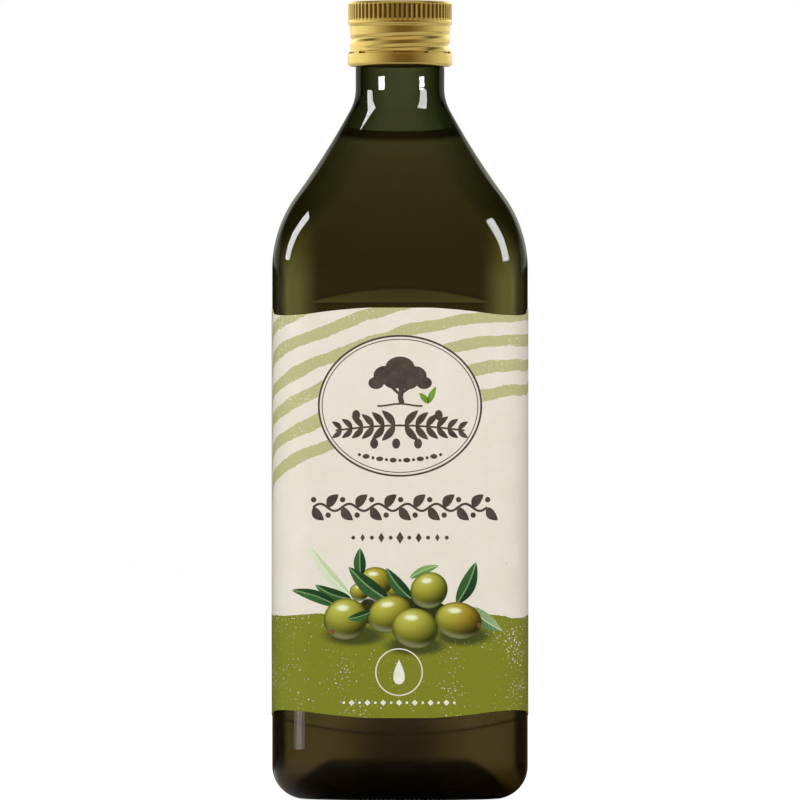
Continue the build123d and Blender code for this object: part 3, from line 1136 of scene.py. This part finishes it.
def inkPiece(name, ink, material):
    points = ink["points"][0] + ink["points"][1]
    half = len(ink["points"][0])
    faces = ink["faces"] + [tuple(i + half for i in face) for face in ink["faces"]]
    spots = ink["places"] * 2
    places = [spots[i] for face in faces for i in face]
    return newPiece(name, points, faces, material, "label", None, places)


# Offset ink on uncoated stock: matt, a little uneven where the paper takes it up
def offsetInk(name, dark, light):
    material, tree = newMaterial(name)
    place = printPlace(tree)
    takeUp = ("ADD", grain(tree, place, 0.9 * mm, 4.0, 0.7), grain(tree, place, 4 * mm, 1.0))
    uneven = addNode(
        tree, "ShaderNodeMapRange", None, {"Value": takeUp, "From Min": 0.75, "From Max": 1.3}
    )
    tone = mixColours(tree, uneven, dark, light)
    finishMaterial(tree, {"Base Color": tone, "Roughness": 0.65, "Specular IOR Level": 0.3})
    return material


# Leaves in process colours: a blade with a pale midrib, lighter on one side of it and at the tip
def leafInk(name, deep, light, rib):
    material, tree = newMaterial(name)
    along, across, _ = axesOf(tree, printPlace(tree))
    half = softStep(tree, across, -0.25, 0.3, 0.0, 0.45)
    veins = ("MULTIPLY", ("SINE", ("ADD", ("MULTIPLY", along, 55.0),
                                   ("MULTIPLY", ("ABSOLUTE", across), -9.0))), 0.06)
    share = ("ADD", ("ADD", half, veins), ("MULTIPLY", along, 0.35))
    blade = mixColours(tree, share, deep, light)
    nearRib = softStep(tree, ("ABSOLUTE", across), 0.03, 0.13, 0.75, 0.0)
    drawn = mixColours(tree, nearRib, blade, rib)
    finishMaterial(tree, {"Base Color": drawn, "Roughness": 0.6, "Specular IOR Level": 0.3})
    return material


# Olives in process colours: the roundness, gloss and light rim are printed, as on a fruit crate.
# Places run from -1 to 1 over each olive; the first is shifted by 4 for every tenth of its golden
# share, so that one ink serves them all
def oliveInk():
    material, tree = newMaterial("processInkOlives")
    shifted, y, _ = axesOf(tree, printPlace(tree))
    tenths = ("ROUND", ("DIVIDE", shifted, oliveShift))
    x = ("SUBTRACT", shifted, ("MULTIPLY", tenths, oliveShift))
    golden = ("DIVIDE", tenths, 10.0)
    reach = hypotenuse(x, y)
    facing = ("SQRT", ("MAXIMUM", ("SUBTRACT", 1.0, ("MULTIPLY", reach, reach)), 0.0))
    slanted = ("ADD", ("MULTIPLY", x, -0.22), ("MULTIPLY", y, 0.5))
    lit = ("ADD", ("MULTIPLY", facing, 0.62), slanted)
    skin = addNode(tree, "ShaderNodeValToRGB", None, {0: lit})
    ramp = skin.color_ramp
    ramp.elements[0].position, ramp.elements[0].color = 0.0, linear("#33370e")
    ramp.elements[1].position, ramp.elements[1].color = 0.92, linear("#cfcf72")
    for position, tone in ((0.25, "#5f6018"), (0.5, "#8a872a"), (0.74, "#aeac42")):
        ramp.elements.new(position).color = linear(tone)
    ripe = mixColours(
        tree, ("MAXIMUM", ("MULTIPLY", golden, ("ADD", 0.75, x)), 0.0),
        skin.outputs[0], "#f0c486", "MULTIPLY",
    )
    # bounced light along the lower rim
    lower = ("MAXIMUM", ("SUBTRACT", ("MULTIPLY", x, -0.25), ("MULTIPLY", y, 1.05)), 0.0)
    rim = softStep(tree, ("MULTIPLY", reach, lower), 0.35, 0.95, 0.0, 0.34)
    paleRim = mixColours(tree, rim, ripe, "#d3d69a")
    edge = softStep(tree, reach, 0.82, 1.0, 0.0, 0.6)
    outlined = mixColours(tree, edge, paleRim, "#474c16")
    glossX = ("DIVIDE", ("ADD", x, 0.14), 0.38)
    glossY = ("DIVIDE", ("SUBTRACT", y, 0.53), 0.2)
    gloss = softStep(tree, hypotenuse(glossX, glossY), 0.3, 1.05, 0.95, 0.0)
    glossy = mixColours(tree, gloss, outlined, "#eef0c4")
    finishMaterial(tree, {"Base Color": glossy, "Roughness": 0.6, "Specular IOR Level": 0.3})
    return material


def makeOlives():
    ink = newInk()
    for x, level, halfLength, halfWidth, tilt, layer, golden in oliveShapes:
        centre, outline = ellipseOutline(x, level, halfLength, halfWidth, tilt)
        turn = math.radians(tilt)
        shift = oliveShift * round(golden * 10)

        def discPlace(flat, centre=centre, turn=turn, sizes=(halfLength, halfWidth), shift=shift):
            away = flat - centre
            a = (away.x * math.cos(turn) + away.y * math.sin(turn)) / sizes[0]
            b = (away.y * math.cos(turn) - away.x * math.sin(turn)) / sizes[1]
            return (a * math.cos(turn) - b * math.sin(turn) + shift,
                    a * math.sin(turn) + b * math.cos(turn))

        addFill(ink, centre, outline, layer, discPlace)
    inkPiece("printedOlives", ink, oliveInk())
    # the dark of the gaps between them
    gaps = newInk()
    for *shape, layer in gapShapes:
        addFill(gaps, *ellipseOutline(*shape), layer)
    inkPiece("printedGaps", gaps, offsetInk("processInkGaps", "#1d2110", "#3a3d1c"))
    pits = newInk()
    addFill(pits, *ellipseOutline(-21.2, 52.7, 1.0, 0.8, 30, 20), 6)
    addFill(pits, *ellipseOutline(24.6, 54.8, 0.6, 0.9, 0, 16), 6)
    inkPiece("printedPits", pits, offsetInk("processInkPits", "#4a2e14", "#8a6236"))


def makeLeaves():
    for kind, tones in leafTones.items():
        ink = newInk()
        for tipX, tipLevel, baseX, baseLevel, width, bend, layer, chosen in leafShapes:
            if chosen != kind:
                continue
            tip, base = Vector((tipX, tipLevel)), Vector((baseX, baseLevel))
            centre, outline = leafOutline(tip, base, width, bend)

            def bladePlace(flat, tip=tip, base=base, width=width, bend=bend):
                length, along = (tip - base).length, (tip - base).normalized()
                side = Vector((-along.y, along.x))
                t = (flat - base).dot(along) / length
                sway = bend * math.sin(math.pi * min(max(t, 0.0), 1.0))
                return (t, ((flat - base).dot(side) - sway) / (width / 2))

            addFill(ink, centre, outline, layer, bladePlace)
        title = kind[0].upper() + kind[1:]
        inkPiece("printedLeaves" + title, ink, leafInk("processInkLeaf" + title, *tones))


def addPath(ink, spots, width, layer):
    addLine(ink, [Vector(spot) for spot in spots], width, layer)


# the branch's stem, the height at a place across it
def stemLevel(x):
    return 115.2 + 1.6 * math.cos(x / 13.0)


# the medallion: a plain oval with an olive tree over a branch
def makeMedallion():
    brown, green = newInk(), newInk()
    middle = label["medallionLevel"] / mm
    wide, high = label["medallionHalfWidth"] / mm, label["medallionHalfHeight"] / mm
    for inset, width in ((0.3, 0.6), (1.35, 0.28)):
        _, path = ellipseOutline(0, middle, wide - inset, high - inset, 0, 120)
        addLine(brown, path, width, 1, closed=True)
    # tree: a forked trunk under a crown of rounded clumps
    crown = ((0, 134.6, 4.6, 3.6), (-4.6, 132.4, 3.6, 2.9), (4.6, 132.2, 3.7, 3.0),
             (-1.8, 130.8, 3.4, 2.6), (2.6, 130.6, 3.2, 2.6), (-7.4, 130.0, 2.4, 1.9),
             (7.5, 130.0, 2.4, 1.9))
    for layer, clump in enumerate(crown):
        addFill(brown, *ellipseOutline(*clump, 0, 28), 0.4 + 0.3 * layer)
    addPath(brown, ((0.6, 123.4), (0.1, 125.6), (0.5, 127.6), (0.0, 130.2)), 1.7, 1)
    addPath(brown, ((0.2, 126.2), (-1.6, 127.8), (-3.6, 129.8)), 0.9, 1.2)
    addPath(brown, ((0.4, 126.8), (2.4, 128.2), (4.4, 129.8)), 0.9, 1.4)
    addPath(brown, [(x, 123.2 + 0.35 * math.cos(x * 0.5)) for x in range(-7, 8)], 0.55, 1.6)
    for side in (-1, 1):
        tip, base = Vector((8.6 + side * 2.6, 127.9 + side * 1.0)), Vector((8.8, 123.6))
        addFill(green, *leafOutline(tip, base, 1.9, 0.15 * side), 1)
    # branch: leaves in pairs along a bowed stem, larger towards the middle, with olives between
    addPath(brown, [(x, stemLevel(x)) for x in range(-20, 21)], 0.6, 1)
    for i in range(6):
        for side in (-1, 1):
            x = side * (1.6 + 3.3 * i)
            foot = Vector((x, stemLevel(x)))
            reach = 6.2 - 0.45 * i
            for lean in (-1, 1):
                lift = Vector((side * 0.72, lean * (0.85 - 0.05 * i))).normalized()
                blade = leafOutline(foot + lift * reach, foot, 2.3 - 0.14 * i, 0.3 * lean * side)
                addFill(brown, *blade, 1.5)
    for x, lean in ((-8.0, -1), (-1.2, -1), (5.6, -1), (12.0, 1), (-13.6, 1)):
        addFill(brown, *ellipseOutline(x, 115.6 + lean * 4.4, 1.25, 1.6, 0, 20), 2)
    # a beaded arc under the branch
    for i in range(-6, 7):
        size = 0.75 if i % 2 else 0.5
        x = 2.1 * i
        level = 106.0 + 0.011 * x * x
        addFill(brown, *ellipseOutline(x, level, size * (1.5 if i % 2 else 1.0), size, 0, 14), 1)
    inkPiece("printedMedallion", brown, offsetInk("offsetInkBrown", *inkTones["brown"]))
    inkPiece("printedSprout", green, offsetInk("offsetInkGreen", *inkTones["leaf"]))


# borders of plain leaves, lozenges and dots
def makeBorders():
    brown, cream = newInk(), newInk()
    middle, half, wave = 91.4, 27.0, 9.0
    steps = int(2 * half)
    vine = [(x / 2, middle + 1.1 * math.sin(math.pi * x / wave)) for x in range(-steps, steps + 1)]
    addPath(brown, vine, 0.75, 1)
    count = 12
    for i in range(count + 1):
        x = -half + 2 * half * i / count
        lean = 1 if i % 2 else -1
        foot = Vector((x, middle + 1.1 * math.sin(math.pi * x / wave * 2)))
        addFill(brown, *leafOutline(foot + Vector((3.4, lean * 4.0)), foot, 2.9, 0.5 * lean), 1.5)
        addFill(brown, *ellipseOutline(x + 0.2, foot.y - lean * 2.4, 0.85, 0.85, 0, 16), 1.5)
    for i in range(-5, 6):
        size = 1.9 - 0.18 * abs(i)
        lozenge = ellipseOutline(2.9 * i, 82.0, size * 0.62, size, 0, 4)
        dot = ellipseOutline(2.9 * i, 82.0, 0.62, 0.62, 0, 16)
        addFill(brown, *(dot if i % 2 else lozenge), 1)
    _, circle = ellipseOutline(-0.3, 40.3, 7.2, 7.2, 0, 72)
    addLine(cream, circle, 0.36, 1, closed=True)
    drop = [Vector((-0.3 + 2.5 * math.sin(a) * math.sin(a / 2) ** 1.4, 40.4 + 3.9 * math.cos(a)))
            for a in turns(36)]
    addFill(cream, Vector((-0.3, 39.0)), drop, 1)
    for i in range(-7, 8):
        lozenge = ellipseOutline(2.45 * i - 0.3, 30.8, 0.95, 0.95, 0, 4)
        dot = ellipseOutline(2.45 * i - 0.3, 30.8, 0.42, 0.42, 0, 14)
        addFill(cream, *(dot if i % 2 else lozenge), 1)
    inkPiece("printedBorders", brown, bpy.data.materials["offsetInkBrown"])
    inkPiece("printedRing", cream, offsetInk("offsetInkCream", *inkTones["cream"]))


makeOlives()
makeLeaves()
makeMedallion()
makeBorders()
print("print made")

# ---- camera, floor and light
view = {"distance": 4.0, "width": 250.6 * mm, "level": 124.7 * mm, "sensor": 36.0}
cameraData = bpy.data.cameras.new("camera")
cameraData.sensor_width = view["sensor"]
cameraData.lens = view["sensor"] * view["distance"] / view["width"]
cameraData.clip_start = 0.1
cameraData.clip_end = 100.0
camera = newObject("camera", cameraData)
camera.location = (0.0, -view["distance"], view["level"])
camera.rotation_euler = (math.radians(90), 0.0, 0.0)
bpy.context.scene.camera = camera


# light that a polished surface mirrors, without what comes through glass
def onlyMirrored(path):
    return ("MULTIPLY", path.outputs["Is Glossy Ray"],
            ("SUBTRACT", 1.0, path.outputs["Is Transmission Ray"]))


# what the camera sees itself, and through glass as far as that share goes
def straight(path, share):
    return ("MAXIMUM", path.outputs["Is Camera Ray"],
            ("MULTIPLY", path.outputs["Is Transmission Ray"], share))


# Matt white paper: lit to white for the camera, and mirrored only close under polished things
sweep = {
    "radius": 6.0,
    "glow": 0.92,
    "mirrorFade": (0.05, 0.3),  # from the bottle outwards
    "mirrorShare": 0.4,
    "mirrorLeftEnd": (-0.065, -0.02),
    "whiteBehind": (0.25, 0.45),  # where it is white through glass
    "wedge": 2.5,  # how much further behind that starts for each metre to the side
}


def paperSweep():
    material, tree = newMaterial("paperSweepMatt")
    path = addNode(tree, "ShaderNodeLightPath")
    x, y, _ = axesOf(tree, objectPlace(tree))
    # what polished things mirror of it: bright under them, dim further off
    near = softStep(tree, hypotenuse(x, y), *sweep["mirrorFade"], sweep["mirrorShare"], 0.0)
    mirrored = onlyMirrored(path)
    # through glass it is white only far behind; nearer, and to the sides, the room is dark
    aside = ("MULTIPLY", ("ABSOLUTE", x), sweep["wedge"])
    onward = softStep(tree, ("SUBTRACT", y, aside), *sweep["whiteBehind"])
    direct = straight(path, onward)
    leftCard = softStep(tree, x, *sweep["mirrorLeftEnd"], 1.0, 0.0)
    seen = ("MAXIMUM", direct, ("MULTIPLY", mirrored, ("MULTIPLY", near, leftCard)))
    grey = mixColours(tree, mirrored, "#808080", "#40301a")
    paper = addNode(tree, "ShaderNodeBsdfDiffuse", None, {"Color": grey})
    glow = addNode(
        tree, "ShaderNodeEmission", None,
        {"Color": linear("#ffffff"), "Strength": ("MULTIPLY", seen, sweep["glow"])},
    )
    both = addNode(tree, "ShaderNodeAddShader", None, {0: paper, 1: glow})
    addNode(tree, "ShaderNodeOutputMaterial", None, {"Surface": both})
    return material


floorMesh = bpy.data.meshes.new("floor")
rim = [(sweep["radius"] * math.cos(a), sweep["radius"] * math.sin(a), 0.0) for a in turns(64)]
floorMesh.from_pydata(rim, [], [tuple(range(len(rim)))])
floorMesh.materials.append(paperSweep())
floor = newObject("floor", floorMesh)


# where the backdrop fades in, as shares of a direction's length
backdrop = {
    "side": (0.52, 0.6),
    "foot": (0.014, 0.021),
    "top": (0.13, 0.34),
    "room": (-0.9, 0.0),  # from the camera's end of the room to its sides
    "through": (-0.1, 0.15),  # where it is white through glass
    "fill": 0.35,  # what it adds to matt surfaces
}


def studioWorld(tree):
    path = addNode(tree, "ShaderNodeLightPath")
    # mirrored light: a dark room, with the white backdrop behind, above the table's far edge
    x, y, z = axesOf(tree, addNode(tree, "ShaderNodeTexCoord").outputs["Generated"])
    facing = ("DIVIDE", y, ("MAXIMUM", hypotenuse(x, y), 0.001))
    behind = softStep(tree, facing, *backdrop["side"])
    raised = softStep(tree, z, *backdrop["foot"])
    capped = softStep(tree, z, *backdrop["top"], 1.0, 0.0)
    shown = ("MULTIPLY", behind, ("MULTIPLY", raised, capped))
    room = softStep(tree, facing, *backdrop["room"])
    dim = mixColours(tree, room, "#7a6234", "#1c1608")
    mirrored = mixColours(tree, shown, dim, "#92958a")
    onward = softStep(tree, y, *backdrop["through"])
    direct = straight(path, onward)
    diffuse = ("MULTIPLY", path.outputs["Is Diffuse Ray"], backdrop["fill"])
    plain = addNode(
        tree, "ShaderNodeCombineColor", None, {i: ("MAXIMUM", direct, diffuse) for i in range(3)}
    )
    seen = mixColours(tree, onlyMirrored(path), plain, mirrored)
    light = addNode(tree, "ShaderNodeBackground", None, {"Color": seen, "Strength": 1.0})
    addNode(tree, "ShaderNodeOutputWorld", None, {"Surface": light})


world = bpy.data.worlds.new("studio")
bpy.context.scene.world = world
world.use_nodes = True
world.node_tree.nodes.clear()
studioWorld(world.node_tree)


# a soft box, tilted towards the body: azimuth from the camera's side and elevation in degrees,
# distance and size in metres, whether it lights matt surfaces, and the piece that mirrors it
def softBox(name, azimuth, elevation, distance, size, radiance, lights, mirrors,
            level=0.15, spread=180):
    data = bpy.data.lights.new(name, "AREA")
    data.shape = "RECTANGLE"
    data.spread = math.radians(spread)
    data.size, data.size_y = size
    data.energy = radiance * math.pi * size[0] * size[1]
    lamp = newObject(name, data)
    a, e = math.radians(azimuth), math.radians(elevation)
    away = Vector((math.sin(a) * math.cos(e), -math.cos(a) * math.cos(e), math.sin(e)))
    lamp.location = Vector((0, 0, level)) + away * distance
    lamp.rotation_euler = away.to_track_quat("Z", "Y").to_euler()
    lamp.visible_diffuse = lights
    lamp.visible_glossy = bool(mirrors)
    lamp.visible_transmission = False
    lamp.visible_camera = False
    if mirrors:  # each mirrored box shows in one material only
        chosen = bpy.data.collections.new(name + "Pieces")
        chosen.objects.link(bpy.data.objects[mirrors])
        lamp.light_linking.receiver_collection = chosen


softBox("frontFill", -8, 32, 2.0, (1.4, 1.2), 6.5, True, None)
softBox("leftFill", -82, 12, 1.6, (0.9, 1.2), 2.6, True, None)
softBox("rightFill", 82, 12, 1.6, (0.9, 1.2), 3.2, True, None)
softBox("backFill", 178, 30, 2.0, (1.4, 1.2), 2.6, True, None)
softBox("leftStrip", -86, 32, 1.2, (0.36, 1.0), 13.0, False, "glassBottle")
softBox("rightStrip", 64, 32, 1.2, (0.42, 1.0), 13.0, False, "glassBottle")
# two small ones close to the neck, shaded from the shoulder by their narrow spread
softBox("neckBlade", -44, 0, 0.067, (0.017, 0.013), 5.0, False, "glassBottle", 0.2212, 70)
softBox("neckPane", 53, 0, 0.067, (0.016, 0.003), 5.0, False, "glassBottle", 0.2262, 70)
softBox("lowWindow", -47, -18, 0.42, (0.2, 0.1), 1.3, False, "glassBottle")
softBox("lowWindowCore", -47, -17, 0.41, (0.09, 0.1), 1.6, False, "glassBottle")
# the cap's pale cards: several steps on each side make its soft turn from dark to light
cards = {
    "distance": 0.6,
    "height": 0.7,
    "elevation": 4,
    "end": 138,  # degrees from the camera, where every step ends
    "left": (-1, ((15, 0.12), (30, 0.16), (45, 0.22), (60, 0.26), (75, 0.2), (90, 0.14))),
    "right": (1, ((34, 0.13), (50, 0.15), (65, 0.2), (80, 0.18), (95, 0.12))),
}
for name in ("left", "right"):
    side, steps = cards[name]
    where = (cards["elevation"], cards["distance"])
    for start, radiance in steps:
        width = 2 * cards["distance"] * math.tan(math.radians((cards["end"] - start) / 2))
        middle, size = side * (start + cards["end"]) / 2, (width, cards["height"])
        softBox(name + "Card" + str(start), middle, *where, size, radiance, False, "capShell")
    size = (0.42, cards["height"])
    softBox(name + "BackCard", side * 156, *where, size, 0.9, False, "capShell")
softBox("overCard", 0, 62, 0.6, (1.2, 0.5), 0.45, False, "capShell")
softBox("backCard", 180, 42, 0.6, (1.2, 0.6), 0.6, False, "capShell")
softBox("underCard", 0, -90, 0.14, (0.9, 0.9), 0.55, False, "capShell")
bpy.context.scene.view_settings.view_transform = "Standard"
print("studio made")
